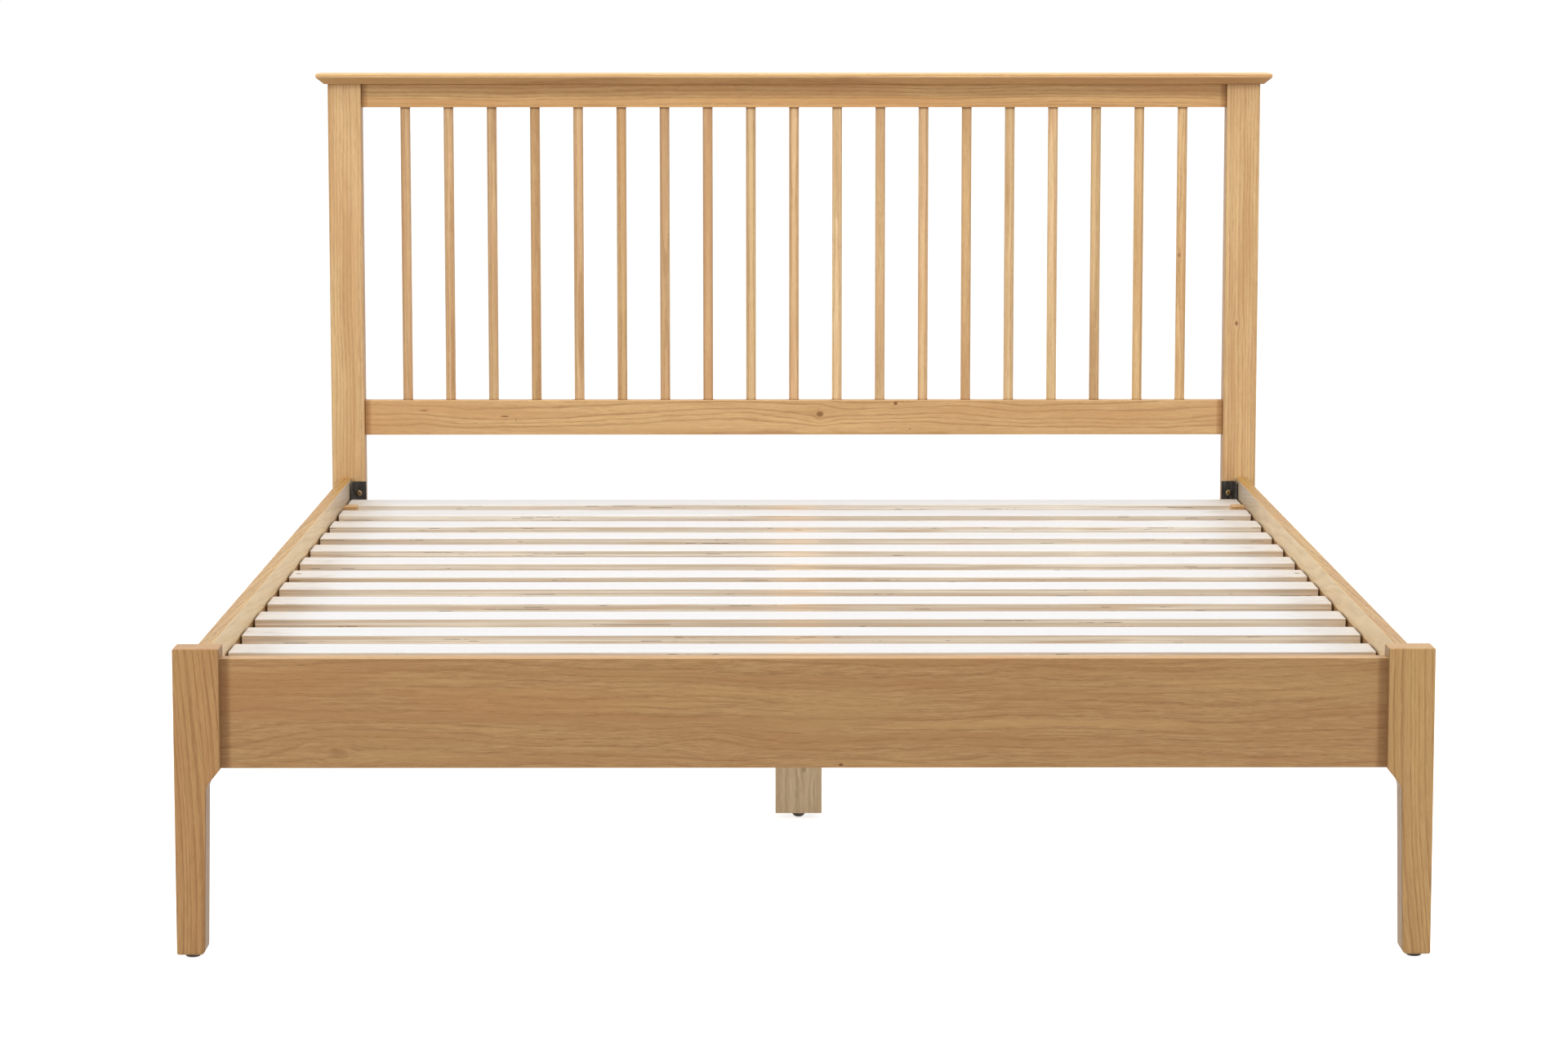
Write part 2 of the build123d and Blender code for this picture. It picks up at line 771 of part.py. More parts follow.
for side_name, side in SIDES.items():
    make_foot_leg(side, f"foot_leg_{side_name}")
    make_post(side, f"headboard_post_{side_name}")
    make_side_rail(side, f"side_rail_{side_name}")
    make_ledger(side, f"slat_ledger_{side_name}")

make_cap_rail("headboard_cap_rail")
make_headboard_rails()
for number, seat in enumerate(spindle_seats(lower_rail_top, 1), start=1):
    make_spindle(seat, f"spindle_{number:02d}")
make_low_rails()

# Slats are numbered from the head, so slat 07 starts the head roll.
for number, front in enumerate(reversed(slat_fronts), start=1):
    make_slat(front, f"slat_{number:02d}", screwed=front == head_roll_fronts[0])
make_webbing("slat_webbing")
make_stop_blocks("slat_stop_blocks")

make_centre_rail("centre_rail")
make_centre_leg("centre_leg")
make_centre_foot("centre_leg_foot")
make_hangers("centre_rail_hangers")

make_corner_brackets("head", "head_corner_brackets")
make_corner_brackets("foot", "foot_corner_brackets")
make_bolts("corner_bolts")
make_inserts("threaded_inserts")
make_screws()
make_glides("leg_glides")
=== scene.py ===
"""Looks of a wooden bed frame: camera, light, floor, materials and the tapes under its slats."""

import math
import random

import bmesh
import bpy
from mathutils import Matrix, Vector


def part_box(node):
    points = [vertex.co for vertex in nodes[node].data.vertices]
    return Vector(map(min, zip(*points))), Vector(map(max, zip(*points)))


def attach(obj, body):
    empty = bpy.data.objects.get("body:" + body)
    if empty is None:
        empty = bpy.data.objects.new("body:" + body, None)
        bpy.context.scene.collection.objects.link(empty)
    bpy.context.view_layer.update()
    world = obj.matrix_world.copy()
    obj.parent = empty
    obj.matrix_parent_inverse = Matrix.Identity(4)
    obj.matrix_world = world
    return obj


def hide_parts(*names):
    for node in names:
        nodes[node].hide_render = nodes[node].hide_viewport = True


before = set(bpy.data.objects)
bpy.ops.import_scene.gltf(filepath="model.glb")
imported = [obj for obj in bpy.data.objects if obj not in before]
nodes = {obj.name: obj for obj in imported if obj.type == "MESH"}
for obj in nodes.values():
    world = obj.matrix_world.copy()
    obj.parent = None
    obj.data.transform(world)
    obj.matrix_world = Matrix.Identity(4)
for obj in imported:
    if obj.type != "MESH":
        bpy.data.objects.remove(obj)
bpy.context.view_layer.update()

# Camera, in metres and degrees
camera_place = (-0.0473, -6.5083, 1.2329)
camera_pitch = 7.019          # below the horizon
camera_yaw = 0.229            # towards +X
camera_lens = 100.03          # mm
camera_sensor = 36.0          # mm wide

# Light: what the room adds, and each soft box's place, target, size in metres and energy in watts
ambient_strength = 0.46
soft_boxes = {
    "overhead": ((0.0, 0.30, 3.0), (0.0, 0.20, 0.3), 3.0, 78.0),
    "key_left": ((-4.2, -4.0, 2.2), (-0.2, -0.9, 0.3), 1.6, 105.0),
    "fill_right": ((4.4, -3.8, 2.2), (0.2, -0.9, 0.3), 1.6, 88.0),
}

# Floor
floor_size = 60.0             # radius, metres
floor_white = 0.62
floor_glow = 0.82             # what a view of the floor adds to its own white

# Base tones, 0 to 255. The foot rail's and foot legs' are darker partly as painted shade and partly as
# the wood's own tone; the centre leg's is paler as painted light against the shade under the bed.
post_tone = (211, 174, 126)
cap_tone = (192, 153, 107)
top_rail_tone = (215, 172, 117)
lower_rail_tone = (207, 168, 118)
# Darker partly as painted shade.
foot_rail_tone = (181, 141, 94)
left_leg_tone = (182, 139, 89)
right_leg_tone = (190, 150, 98)
side_rail_tone = (207, 173, 126)
cross_rail_tone = (200, 162, 116)
stop_block_tone = (206, 168, 118)
pine_tone = (205, 180, 146)
# Paler as painted light against the shade under the bed.
centre_leg_tone = (240, 214, 176)
spindle_tones = (
    (206, 171, 128), (210, 172, 128), (209, 174, 130), (206, 168, 120), (212, 176, 132),
    (208, 172, 124), (206, 170, 127), (205, 166, 121), (213, 180, 135), (220, 183, 138),
    (228, 197, 152), (218, 185, 140), (219, 183, 138), (213, 176, 128), (218, 185, 139),
    (229, 197, 151), (214, 179, 132), (218, 181, 130), (222, 185, 135),
)

# Knots and short cracks of the headboard's lower rail: X, Z, half height, length to height, darkness
lower_rail_knots = (
    (-0.6405, 0.5035, 0.0011, 7.0, 0.85),
    (-0.5010, 0.4930, 0.0013, 6.0, 0.95),
    (-0.4820, 0.4865, 0.0010, 1.5, 0.80),
    (0.0450, 0.4970, 0.0050, 1.3, 0.85),
    (0.1760, 0.5155, 0.0032, 1.2, 0.95),
    (0.2010, 0.4714, 0.0014, 1.2, 0.80),
)

# Patterns of wood, in cycles to the metre along the grain, across it and through it
slow_wave = (1.6, 7.0, 7.0)
quick_wave = (9.0, 26.0, 26.0)
fibre_rate = (24.0, 430.0, 430.0)
hair_rate = (42.0, 760.0, 760.0)
band_rate = (2.6, 62.0, 62.0)
blotch_rate = (2.4, 13.0, 13.0)
pore_rate = (75.0, 1500.0, 1500.0)
ring_width_rate = (85.0, 1.0, 1.0)

# What each feature of the wood, and the painted highlight along the arrises, does to the piece's base
# tone: red, green and blue
wood_tints = {
    "light": (1.045, 1.055, 1.065),
    "fibre": (0.92, 0.895, 0.86),
    "hair": (0.89, 0.85, 0.80),
    "dark_band": (0.93, 0.875, 0.82),
    "pale_band": (1.05, 1.06, 1.02),
    "early_wood": (0.80, 0.73, 0.64),
    "late_wood": (1.05, 1.06, 1.06),
    "dark_blotch": (0.97, 0.90, 0.84),
    "pale_blotch": (1.02, 1.04, 1.02),
    "pore": (0.70, 0.61, 0.51),
    "knot": (0.62, 0.50, 0.38),
    "painted_arris_tint": (1.07, 1.08, 1.09),
}
wood_relief = 0.00012         # metres

# Laminated slats
ply_layers = 7
ply_layer_sway = 0.0012       # metres
ply_tones = {
    "face": (216, 216, 217), "face_band": (211, 208, 205), "face_fibre": (207, 200, 190),
    # Painted shadow of the side rails near a slat's ends:
    "rail_shadow_smudge": (186, 180, 172), "rail_shadow_tone": (205, 188, 166),
    "pale_layer": (244, 229, 208), "dark_layer": (210, 189, 164), "side_fibre": (203, 181, 155),
    "stain": (204, 174, 140), "glue": (172, 146, 120), "gap": (72, 50, 32),
}
# How far from a slat's end the side rails' painted shadow reaches, in metres.
rail_shadow_reach = 0.075           # metres from a slat's end

# Woven tape, in metres
tape_spread = 0.900
tape_width = 0.025
tape_thickness = 0.0012
tape_end_inset = 0.010
tape_columns = 8
tape_rib_pitch = 0.0025
tape_rib_height = 0.00018
tape_selvedge_height = 0.00012
tape_sag = 0.0015
warp_pitch = 0.0011
weft_pitch = 0.0009

# Numbers of the slats in each roll, from the head
head_roll = range(1, 8)
foot_roll = range(8, 14)

# Principled shader sockets, by the short names used below
socket_names = {
    "base_color": "Base Color", "roughness": "Roughness", "normal": "Normal", "metallic": "Metallic",
    "specular": "Specular IOR Level", "sheen": "Sheen Weight",
}


def linear(tone):
    """The linear colour of a 0 to 255 tone."""
    values = [max(0.0, min(1.0, c / 255)) for c in tone]
    curve = [v / 12.92 if v <= 0.04045 else ((v + 0.055) / 1.055) ** 2.4 for v in values]
    return (*curve, 1.0)


def tinted(tone, red, green, blue):
    """A tone with each channel scaled."""
    return (tone[0] * red, tone[1] * green, tone[2] * blue)


class Graph:
    """Adds and links the shader nodes of a new material, or of a world."""

    def __init__(self, name, world=None):
        self.owner = world or bpy.data.materials.new(name)
        self.owner.use_nodes = True
        self.tree = self.owner.node_tree
        self.tree.nodes.clear()
        self.output = self.add("ShaderNodeOutputWorld" if world else "ShaderNodeOutputMaterial")

    def add(self, kind, **settings):
        """Adds a node and gives it its settings."""
        node = self.tree.nodes.new(kind)
        for key, value in settings.items():
            setattr(node, key, value)
        return node

    def put(self, socket, value):
        """Links a socket into another one, or writes a constant there."""
        if isinstance(value, bpy.types.NodeSocket):
            self.tree.links.new(value, socket)
        else:
            socket.default_value = value

    def math(self, operation, *values, clamp=False):
        """The result of a Math node."""
        node = self.add("ShaderNodeMath", operation=operation, use_clamp=clamp)
        for socket, value in zip(node.inputs, values):
            self.put(socket, value)
        return node.outputs[0]

    def split(self, vector):
        """The three parts of a vector or colour."""
        node = self.add("ShaderNodeSeparateXYZ")
        self.put(node.inputs[0], vector)
        return node.outputs

    def coordinates(self):
        """The object's X, Y and Z, which are the frame's, in metres."""
        return self.split(self.add("ShaderNodeTexCoord").outputs["Object"])

    def facing(self):
        """The X, Y and Z of the direction in which the mesh faces."""
        return self.split(self.add("ShaderNodeNewGeometry").outputs["True Normal"])

    def vector(self, x, y, z):
        """Three values as one vector."""
        node = self.add("ShaderNodeCombineXYZ")
        for socket, value in zip(node.inputs, (x, y, z)):
            self.put(socket, value)
        return node.outputs[0]

    def stretched(self, place, rates, shift):
        """A place scaled by the rates of its three axes, in cycles to the metre."""
        node = self.add("ShaderNodeVectorMath", operation="MULTIPLY_ADD")
        self.put(node.inputs[0], place)
        self.put(node.inputs[1], rates)
        self.put(node.inputs[2], shift)
        return node.outputs[0]

    def noise(self, place, rates, shift, detail=2.0, roughness=0.5, colour=False):
        """Noise at a place, as one value or as a colour of three."""
        node = self.add("ShaderNodeTexNoise")
        self.put(node.inputs["Vector"], self.stretched(place, rates, shift))
        self.put(node.inputs["Scale"], 1.0)
        self.put(node.inputs["Detail"], detail)
        self.put(node.inputs["Roughness"], roughness)
        return node.outputs["Color" if colour else "Fac"]

    def step(self, value, low, high, bottom=0.0, top=1.0):
        """A smooth step from bottom to top as value goes from low to high."""
        node = self.add("ShaderNodeMapRange", interpolation_type="SMOOTHSTEP")
        for socket, item in zip(node.inputs, (value, low, high, bottom, top)):
            self.put(socket, item)
        return node.outputs[0]

    def mix(self, factor, first, second, blend="MIX"):
        """Two colours mixed: the first where factor is 0, the second where it is 1."""
        node = self.add("ShaderNodeMix", data_type="RGBA", blend_type=blend)
        self.put(node.inputs["Factor"], factor)
        self.put(node.inputs["A"], first)
        self.put(node.inputs["B"], second)
        return node.outputs["Result"]

    def bump(self, height, distance, strength):
        """The normal of a surface with this relief."""
        node = self.add("ShaderNodeBump")
        self.put(node.inputs["Height"], height)
        self.put(node.inputs["Distance"], distance)
        self.put(node.inputs["Strength"], strength)
        return node.outputs[0]

    def finish(self, **sockets):
        """Puts the values into a Principled shader and returns the material."""
        shader = self.add("ShaderNodeBsdfPrincipled")
        for name, value in sockets.items():
            self.put(shader.inputs[socket_names[name]], value)
        self.put(self.output.inputs["Surface"], shader.outputs[0])
        return self.owner


def board_axes(graph, grain):
    """A board's own axes: along its grain, across its face and through it."""
    x, y, z = graph.coordinates()
    return {"x": (x, z, y), "y": (y, z, x), "z": (z, x, y), "flat": (x, y, z)}[grain]


def arris_highlight_mask(graph, node, width):
    """Where a boxy piece's arrises are: 1 on them, 0 further in than width."""
    low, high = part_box(node)
    middle = (low + high) / 2
    half = (high - low) / 2
    gaps = []
    for value, centre, reach in zip(graph.coordinates(), middle, half):
        offset = graph.math("ABSOLUTE", graph.math("SUBTRACT", value, centre))
        gaps.append(graph.math("SUBTRACT", reach, offset))
    total = graph.math("ADD", graph.math("ADD", gaps[0], gaps[1]), gaps[2])
    least = graph.math("MINIMUM", graph.math("MINIMUM", gaps[0], gaps[1]), gaps[2])
    most = graph.math("MAXIMUM", graph.math("MAXIMUM", gaps[0], gaps[1]), gaps[2])
    second = graph.math("SUBTRACT", graph.math("SUBTRACT", total, least), most)
    return graph.step(second, 0.0, width, 1.0, 0.0)


def knot_masks(graph, along, across, knots):
    """How far the rings bend round the knots, and each knot's dark core."""
    bend, core = 0.0, 0.0
    for place, height, radius, stretch, dark in knots:
        u = graph.math("SUBTRACT", along, place)
        v = graph.math("SUBTRACT", across, height)
        round_u = graph.math("DIVIDE", u, radius * stretch)
        round_v = graph.math("DIVIDE", v, radius)
        squared = graph.math("MULTIPLY_ADD", round_u, round_u, graph.math("MULTIPLY", round_v, round_v))
        reach = graph.math("SQRT", squared)
        pull = graph.math("EXPONENT", graph.math("MULTIPLY", squared, -0.10))
        bend = graph.math("MULTIPLY_ADD", graph.math("MULTIPLY", v, pull), -0.75, bend)
        core = graph.math("ADD", core, graph.step(reach, 0.55, 1.25, dark, 0.0), clamp=True)
    return bend, core


def inward_share(graph, low, high):
    """1 on the side of a piece that faces the bed's middle, 0 elsewhere."""
    inwards = -math.copysign(1.0, low.x + high.x)
    return graph.step(graph.math("MULTIPLY", graph.facing()[0], inwards), 0.55, 0.90)


def zone_depth(graph, zone, low, high):
    """How far a point lies from the end or edge of its piece that the zone is named for, in metres."""
    x, y, z = graph.coordinates()
    if zone == "top":
        return graph.math("SUBTRACT", high.z, z)
    if zone in ("bottom", "inward_low"):
        return graph.math("SUBTRACT", z, low.z)
    if zone == "inward_head":
        return graph.math("SUBTRACT", high.y, y)
    offset = graph.math("ABSOLUTE", graph.math("SUBTRACT", x, (low.x + high.x) / 2))
    return graph.math("SUBTRACT", (high.x - low.x) / 2, offset)


def zone_share(graph, node, zone, reach, fade):
    """How far a point lies in a zone of its piece.

    "up" is its upper faces and "inward" its side towards the bed's middle. "inward_low" and
    "inward_head" are that side's lower edge and head end. "top", "bottom" and "ends" are the
    piece's own. The last five end at reach, in metres, and fade out before it.
    """
    low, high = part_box(node)
    if zone == "up":
        return graph.step(graph.facing()[2], 0.55, 0.90)
    if zone == "inward":
        return inward_share(graph, low, high)
    share = graph.step(zone_depth(graph, zone, low, high), reach - fade, reach, 1.0, 0.0)
    if zone.startswith("inward"):
        share = graph.math("MULTIPLY", inward_share(graph, low, high), share)
    return share


def bent_grain(graph, axes, shift, bend, wander, tilt, curl):
    """Where a point lies across and through the board, once waves, slope and knots bend the grain."""
    along, across, deep = axes
    place = graph.vector(*axes)
    slow = graph.split(graph.noise(place, slow_wave, shift, colour=True))
    quick = graph.split(graph.noise(place, quick_wave, shift, colour=True))
    ripple = 0.35 * wander
    a = graph.math("MULTIPLY_ADD", slow[0], wander * 2, across)
    a = graph.math("MULTIPLY_ADD", quick[0], ripple, a)
    a = graph.math("ADD", graph.math("MULTIPLY_ADD", along, tilt, a), bend)
    strength, middle = curl
    if strength:
        off = graph.math("SUBTRACT", along, middle)
        a = graph.math("MULTIPLY_ADD", graph.math("MULTIPLY", off, off), strength, a)
    d = graph.math("MULTIPLY_ADD", slow[1], wander * 2, deep)
    d = graph.math("MULTIPLY_ADD", quick[1], ripple, d)
    return a, d


def growth_rings(graph, a, d, pith, shift, ring, crisp):
    """The dark early wood and the pale late wood of uneven rings round a pith."""
    off_a = graph.math("SUBTRACT", a, pith[0])
    off_d = graph.math("SUBTRACT", d, pith[1])
    squared = graph.math("MULTIPLY_ADD", off_a, off_a, graph.math("MULTIPLY", off_d, off_d))
    radius = graph.math("SQRT", squared)
    widths = graph.noise(graph.vector(radius, 0.0, 0.0), ring_width_rate, shift, 1.0)
    phase = graph.math("MULTIPLY_ADD", radius, 1 / ring, graph.math("MULTIPLY", widths, 3.0))
    part = graph.math("FRACT", phase)
    early = graph.math("MULTIPLY", graph.step(part, 0.0, 0.12), graph.step(part, 0.12, crisp, 1.0, 0.0))
    late = graph.step(part, 0.55, 0.95)
    return early, late


def wood_patterns(graph, place, bent, shift, early):
    """The fibre, hair, band and blotch noises of a board, and its pores, thickest in the early wood."""
    fibre = graph.noise(bent, fibre_rate, shift, 4.0, 0.72)
    hair = graph.noise(bent, hair_rate, shift, 3.0, 0.65)
    band = graph.noise(bent, band_rate, shift, 3.0, 0.6)
    blotch = graph.noise(place, blotch_rate, shift, 3.0, 0.5)
    pores = graph.step(graph.noise(bent, pore_rate, shift, 1.0), 0.57, 0.70)
    pores = graph.math("MULTIPLY", pores, graph.math("MULTIPLY_ADD", early, 0.70, 0.30))
    return fibre, hair, band, blotch, pores


def wood_colour(graph, tone, patterns, early, late, depth, streaks, fibres):
    """A board's colour: its base tone, changed where each pattern shows."""
    fibre, hair, band, blotch, pores = patterns
    early_share = graph.math("MULTIPLY", early, graph.step(fibre, 0.30, 0.70, 0.5 * depth, depth))
    features = (
        ("fibre", graph.step(fibre, 0.34, 0.66, 0.0, fibres)),
        ("hair", graph.step(hair, 0.47, 0.68, 0.0, fibres)),
        ("dark_band", graph.step(band, 0.44, 0.66, 0.0, streaks)),
        ("pale_band", graph.step(band, 0.46, 0.30, 0.0, streaks)),
        ("early_wood", early_share),
        ("late_wood", graph.math("MULTIPLY", late, depth * 0.25)),
        ("dark_blotch", graph.step(blotch, 0.50, 0.70, 0.0, 0.5)),
        ("pale_blotch", graph.step(blotch, 0.48, 0.30, 0.0, 0.4)),
        ("pore", graph.math("MULTIPLY", pores, 0.42)),
    )
    colour = linear(tinted(tone, *wood_tints["light"]))
    for feature, share in features:
        colour = graph.mix(share, colour, linear(tinted(tone, *wood_tints[feature])))
    return colour


def oak(name, node, grain, tone, seed, ring=0.0040, depth=0.5, wander=0.008, tilt=0.004,
        curl=(0.0, 0.0), streaks=0.5, fibres=0.6, crisp=0.70, knots=(), arris_highlight_width=0.0022, matt=0.40,
        zones=(), veil=None):
    """Lacquered oak: growth rings round an off-centre pith, wavy fibre, pores, bands and knots.

    ring is a ring's width, in metres, and so is the width of the painted highlight along the arrises.
    depth, streaks and fibres say how strongly rings, bands and fibre show, and crisp how soon a ring's
    dark line fades.
    wander, tilt and curl bend the grain. Each zone has a name, reach, fade and tint. A veil is a
    zone, a tone and a share, and covers the grain there.
    """
    rng = random.Random(seed)
    graph = Graph(name)
    axes = board_axes(graph, grain)
    shift = tuple(rng.uniform(-50, 50) for _ in range(3))
    pith = (rng.uniform(-0.05, 0.05), rng.choice((-1, 1)) * rng.uniform(0.05, 0.11))
    bend, core = knot_masks(graph, axes[0], axes[1], knots)
    a, d = bent_grain(graph, axes, shift, bend, wander, tilt, curl)
    early, late = growth_rings(graph, a, d, pith, shift, ring, crisp)
    patterns = wood_patterns(graph, graph.vector(*axes), graph.vector(axes[0], a, d), shift, early)
    fibre, pores = patterns[0], patterns[-1]

    colour = wood_colour(graph, tone, patterns, early, late, depth, streaks, fibres)
    if knots:
        colour = graph.mix(core, colour, linear(tinted(tone, *wood_tints["knot"])))
    # Painted highlight: the arrises are lightened, as if they caught the light.
    if arris_highlight_width:
        rubbed = graph.step(fibre, 0.3, 0.7, 0.25, 0.6)
        rubbed = graph.math("MULTIPLY", arris_highlight_mask(graph, node, arris_highlight_width), rubbed)
        colour = graph.mix(rubbed, colour, linear(tinted(tone, *wood_tints["painted_arris_tint"])))
    if veil:
        zone, veil_tone, share = veil
        covered = graph.math("MULTIPLY", zone_share(graph, node, zone, 0.0, 0.0), share)
        colour = graph.mix(covered, colour, linear(veil_tone))
    for zone, reach, fade, tint in zones:
        toned = graph.mix(1.0, colour, (*tint, 1.0), "MULTIPLY")
        colour = graph.mix(zone_share(graph, node, zone, reach, fade), colour, toned)

    height = graph.math("MULTIPLY_ADD", pores, -1.0, graph.math("MULTIPLY", fibre, 0.35))
    height = graph.math("MULTIPLY_ADD", early, -0.25, height)
    roughness = graph.math("MULTIPLY_ADD", pores, 0.18, graph.step(fibre, 0.2, 0.8, matt, matt + 0.14))
    return graph.finish(
        base_color=colour,
        roughness=roughness,
        normal=graph.bump(height, wood_relief, 0.6),
        specular=0.35,
    )


def ply_face(graph, along, place, shift, fibre, end):
    """The colour of a slat's broad faces: pale veneer, with the side rails' painted shadow near its ends
    as grey smudges and a yellower tone.
    """
    band = graph.noise(place, (1.6, 60.0, 60.0), shift, 3.0, 0.55)
    # Painted shadow of the side rails near each end, patchy.
    rail_shadow_smudge = graph.step(graph.noise(place, (16.0, 40.0, 1.0), shift, 3.0, 0.6), 0.50, 0.72)
    past_shadow_start = graph.math("SUBTRACT", graph.math("ABSOLUTE", along), end - rail_shadow_reach)
    rail_shadow_tone = graph.step(past_shadow_start, -0.03, 0.05)
    shares = (
        ("face_band", graph.step(band, 0.40, 0.70, 0.0, 0.55)),
        ("face_fibre", graph.step(fibre, 0.50, 0.75, 0.0, 0.4)),
        ("rail_shadow_smudge", graph.math("MULTIPLY", rail_shadow_tone, rail_shadow_smudge)),
        ("rail_shadow_tone", graph.math("MULTIPLY", rail_shadow_tone, 0.35)),
    )
    colour = linear(ply_tones["face"])
    for feature, share in shares:
        colour = graph.mix(share, colour, linear(ply_tones[feature]))
    return colour


def ply_side(graph, along, index, part, shift, fibre, gaps, lift):
    """The colour of a slat's cut edges: layers of their own tone, stains, glue lines and gaps."""
    own = graph.noise(graph.vector(along, index, index), (1.1, 7.3, 3.1), shift, 2.0)
    stain = graph.noise(graph.vector(along, index, 0.0), (3.0, 5.7, 1.0), shift, 2.0, 0.6)
    pale = linear(tinted(ply_tones["pale_layer"], *lift))
    dark = linear(tinted(ply_tones["dark_layer"], *lift))
    shares = (
        ("side_fibre", graph.step(fibre, 0.45, 0.75, 0.0, 0.5)),
        ("stain", graph.step(stain, 0.54, 0.70, 0.0, 0.8)),
        ("glue", graph.math("MULTIPLY", graph.step(part, 0.0, 0.26, 1.0, 0.0), 0.75)),
        ("gap", gaps),
    )
    colour = graph.mix(graph.step(own, 0.35, 0.65), pale, dark)
    for feature, share in shares:
        colour = graph.mix(share, colour, linear(ply_tones[feature]))
    return colour


def slat_ply(name, node, seed, lift):
    """Pale laminated slat: one veneer on the faces, thin layers and short dark gaps on the edges."""
    rng = random.Random(seed)
    graph = Graph(name)
    low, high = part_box(node)
    along, across, deep = board_axes(graph, "flat")
    shift = tuple(rng.uniform(-50, 50) for _ in range(3))
    place = graph.vector(along, across, deep)
    fibre = graph.noise(place, (11.0, 480.0, 480.0), shift, 3.0, 0.6)

    sway = graph.noise(place, (9.0, 9.0, 1.0), shift, 2.0)
    level = graph.math("MULTIPLY_ADD", sway, ply_layer_sway, graph.math("SUBTRACT", deep, low.z))
    layer = graph.math("DIVIDE", level, (high.z - low.z) / ply_layers)
    index = graph.math("FLOOR", layer)
    part = graph.math("FRACT", layer)
    gaps = graph.noise(graph.vector(along, index, 0.0), (9.0, 11.7, 1.0), shift, 4.0, 0.65)
    gaps = graph.math("MULTIPLY", graph.step(gaps, 0.595, 0.635), graph.step(part, 0.05, 0.45, 1.0, 0.0))

    cut_edge = graph.step(graph.math("ABSOLUTE", graph.facing()[2]), 0.75, 0.30)
    face = ply_face(graph, along, place, shift, fibre, high.x)
    side = ply_side(graph, along, index, part, shift, fibre, gaps, lift)
    height = graph.math("MULTIPLY_ADD", gaps, -2.0, fibre)
    return graph.finish(
        base_color=graph.mix(cut_edge, face, side),
        roughness=graph.step(fibre, 0.2, 0.8, 0.42, 0.58),
        normal=graph.bump(height, wood_relief, 0.6),
    )


def pine(name, node, grain, tone, seed, knots=()):
    """Planed softwood: broad soft rings and small knots, with a narrower painted highlight along the
    arrises.
    """
    return oak(
        name, node, grain, tone, seed,
        ring=0.0075, depth=0.35, wander=0.010, tilt=0.012, streaks=0.25, knots=knots, arris_highlight_width=0.0015,
    )


def black_steel(name):
    """Powder-coated pressed steel with a fine orange-peel skin."""
    graph = Graph(name)
    place = graph.vector(*graph.coordinates())
    peel = graph.noise(place, (900.0, 900.0, 900.0), (3.0, 5.0, 7.0), 2.0)
    dust = graph.noise(place, (90.0, 90.0, 60.0), (1.0, 2.0, 3.0), 4.0, 0.6)
    rub = graph.noise(place, (260.0, 260.0, 24.0), (6.0, 2.0, 8.0), 3.0, 0.6)
    colour = graph.mix(graph.step(dust, 0.42, 0.70), linear((34, 30, 27)), linear((62, 56, 50)))
    colour = graph.mix(graph.step(rub, 0.56, 0.72, 0.0, 0.7), colour, linear((104, 96, 86)))
    return graph.finish(
        base_color=colour,
        roughness=graph.step(dust, 0.3, 0.7, 0.34, 0.50),
        normal=graph.bump(peel, 0.00008, 0.5),
    )


def zinc_steel(name):
    """Passivated zinc plate: dull gold with greyer patches and turning marks."""
    graph = Graph(name)
    place = graph.vector(*graph.coordinates())
    cloud = graph.noise(place, (220.0, 220.0, 220.0), (4.0, 8.0, 2.0), 3.0, 0.6)
    scratch = graph.noise(place, (2500.0, 2500.0, 300.0), (9.0, 1.0, 5.0), 2.0)
    colour = graph.mix(graph.step(cloud, 0.40, 0.62), linear((138, 126, 102)), linear((146, 116, 68)))
    return graph.finish(
        base_color=colour,
        metallic=1.0,
        roughness=graph.step(cloud, 0.3, 0.7, 0.18, 0.34),
        normal=graph.bump(scratch, 0.00002, 0.5),
    )


def dark_plastic(name):
    """Moulded brown plastic with a fine spark-eroded texture, paler where it has rubbed."""
    graph = Graph(name)
    place = graph.vector(*graph.coordinates())
    grit = graph.noise(place, (1600.0, 1600.0, 1600.0), (2.0, 4.0, 6.0), 2.0)
    rub = graph.noise(place, (160.0, 160.0, 90.0), (5.0, 3.0, 1.0), 3.0, 0.6)
    colour = graph.mix(graph.step(rub, 0.42, 0.72), linear((74, 60, 48)), linear((104, 86, 68)))
    return graph.finish(
        base_color=colour,
        roughness=graph.step(rub, 0.3, 0.7, 0.46, 0.62),
        normal=graph.bump(grit, 0.00006, 0.6),
    )


def woven_tape(name):
    """White woven tape: warp threads along it, weft across it, a little fuzz and soil."""
    graph = Graph(name)
    x, y, z = graph.coordinates()
    place = graph.vector(x, y, z)
    warp = graph.math("SINE", graph.math("MULTIPLY", x, 2 * math.pi / warp_pitch))
    weft = graph.math("SINE", graph.math("MULTIPLY", y, 2 * math.pi / weft_pitch))
    weave = graph.math("MULTIPLY", warp, weft)
    fuzz = graph.noise(place, (700.0, 700.0, 700.0), (1.0, 6.0, 2.0), 3.0, 0.6)
    soil = graph.noise(place, (14.0, 14.0, 14.0), (3.0, 1.0, 4.0), 3.0, 0.5)
    colour = graph.mix(graph.step(weave, -0.9, 0.6), linear((188, 182, 170)), linear((228, 224, 215)))
    colour = graph.mix(graph.step(fuzz, 0.5, 0.8, 0.0, 0.4), colour, linear((205, 198, 184)))
    colour = graph.mix(graph.step(soil, 0.5, 0.75, 0.0, 0.3), colour, linear((203, 194, 176)))
    height = graph.math("MULTIPLY_ADD", fuzz, 0.5, weave)
    return graph.finish(
        base_color=colour,
        roughness=graph.step(fuzz, 0.2, 0.8, 0.72, 0.9),
        normal=graph.bump(height, 0.00012, 0.8),
        sheen=0.25,
    )


def dress(node, material):
    """Gives a CAD node its material."""
    mesh = nodes[node].data
    mesh.materials.clear()
    mesh.materials.append(material)
    for polygon in mesh.polygons:
        polygon.material_index = 0


